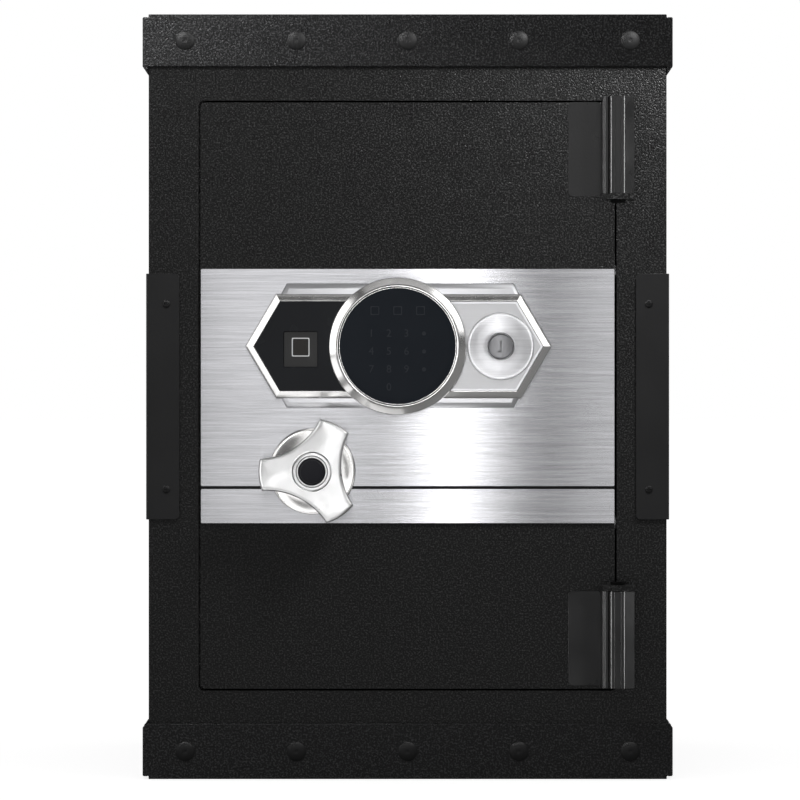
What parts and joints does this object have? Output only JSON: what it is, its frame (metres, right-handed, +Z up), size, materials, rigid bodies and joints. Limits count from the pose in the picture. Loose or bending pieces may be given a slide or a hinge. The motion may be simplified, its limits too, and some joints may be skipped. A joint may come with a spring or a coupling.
{
  "type": "gun safe",
  "caption": "Compact steel gun safe: hinged door with a brushed panel, fingerprint and keypad lock, key override and three-spoke knob that throws round bolts.",
  "frame": {"origin": "middle of the footprint of the whole safe, knob included, on the floor it stands on", "axes": "+Z up, +X to the right of someone facing the door, +Y from the door to the back wall"},
  "size_m": [0.416, 0.417, 0.6],
  "materials": {
    "paint": "black orange-peel powder coat",
    "smooth_paint": "smooth satin black coat",
    "stainless": "horizontal brushed",
    "chrome": "satin chrome",
    "silver": "fine brushed",
    "satin": "satin plated casting",
    "plated_bolt": "polished plating",
    "steel": "zinc plated",
    "brass": "machined",
    "black_plastic": "smooth gloss",
    "keypad_glass": "opaque black glass",
    "sensor": "dark window",
    "felt": "short pile",
    "matte_plastic": "fine grain",
    "board": "solder mask",
    "cells": "wrapped cells",
    "red_plastic": "satin"
  },
  "bodies": {
    "safe": {"side_wall_left": "paint", "side_wall_right": "paint", "roof_plate": "paint", "floor_plate": "paint", "back_wall": "paint", "front_frame": "paint", "top_band_front": "smooth_paint", "top_band_left": "smooth_paint", "top_band_right": "smooth_paint", "bottom_band_front": "smooth_paint", "bottom_band_left": "smooth_paint", "bottom_band_right": "smooth_paint", "bracket_left": "smooth_paint", "bracket_right": "smooth_paint", "door_stop": "paint", "shelf": "paint", "shelf_rail_left": "paint", "shelf_rail_right": "paint", "floor_mat": "felt", "hinge_pin_top": "steel", "hinge_pin_bottom": "steel", "hinge_lug_top": "smooth_paint", "hinge_lug_bottom": "smooth_paint"},
    "door": {"door_plate": "paint", "panel_upper": "stainless", "panel_lower": "stainless", "lock_base": "silver", "lock_bezel": "chrome", "sensor_panel": "black_plastic", "fingerprint_sensor": "sensor", "key_panel": "silver", "keypad_ring": "chrome", "keypad_glass": "keypad_glass", "key_rosette": "silver", "key_lock_body": "brass", "knob_base": "chrome", "hinge_leaf_top": "smooth_paint", "hinge_leaf_bottom": "smooth_paint", "boltwork_frame": "paint", "inner_cover": "paint", "carriage_guide_lower": "steel", "carriage_guide_upper": "steel", "solenoid_body": "matte_plastic", "circuit_board": "board", "battery_case": "matte_plastic", "battery_pack": "cells", "dead_bolt_lower": "plated_bolt", "dead_bolt_upper": "plated_bolt"},
    "knob": {"knob": "satin", "knob_cap": "black_plastic", "spindle": "steel", "drive_cam": "steel"},
    "boltwork": {"bolt_carriage": "steel", "bolt_lower": "plated_bolt", "bolt_middle": "plated_bolt", "bolt_upper": "plated_bolt"},
    "key_plug": {"key_plug": "steel"},
    "plunger": {"solenoid_plunger": "steel"},
    "reset_button": {"reset_button": "red_plastic"},
    "battery_lid": {"battery_lid": "matte_plastic"}
  },
  "joints": [
    {"name": "door_hinge", "type": "hinge", "parent": "safe", "child": "door", "pos_m": [0.1645, -0.1827, 0.3], "axis": [0, 0, 1], "range_deg": [0, 120]},
    {"name": "knob_turn", "type": "hinge", "parent": "door", "child": "knob", "pos_m": [-0.0746, -0.1685, 0.2416], "axis": [0, -1, 0], "range_deg": [0, 90]},
    {"name": "bolt_throw", "type": "slide", "parent": "door", "child": "boltwork", "axis": [-1, 0, 0], "range_m": [0, 0.0241]},
    {"name": "key_turn", "type": "hinge", "parent": "door", "child": "key_plug", "pos_m": [0.0727, -0.1685, 0.3393], "axis": [0, 1, 0], "range_deg": [0, 90]},
    {"name": "plunger_drop", "type": "slide", "parent": "door", "child": "plunger", "axis": [0, 0, -1], "range_m": [0, 0.0065], "stiffness_N_per_m": 200, "springref_m": -0.003},
    {"name": "reset_press", "type": "slide", "parent": "door", "child": "reset_button", "axis": [0, -1, 0], "range_m": [0, 0.002], "stiffness_N_per_m": 400, "springref_m": -0.001},
    {"name": "battery_lid_slide", "type": "slide", "parent": "door", "child": "battery_lid", "axis": [0, 0, 1], "range_m": [0, 0.075]}
  ],
  "couplings": [
    {"joint": "bolt_throw", "follows": "knob_turn", "m_per_rad": 0.015305}
  ]
}
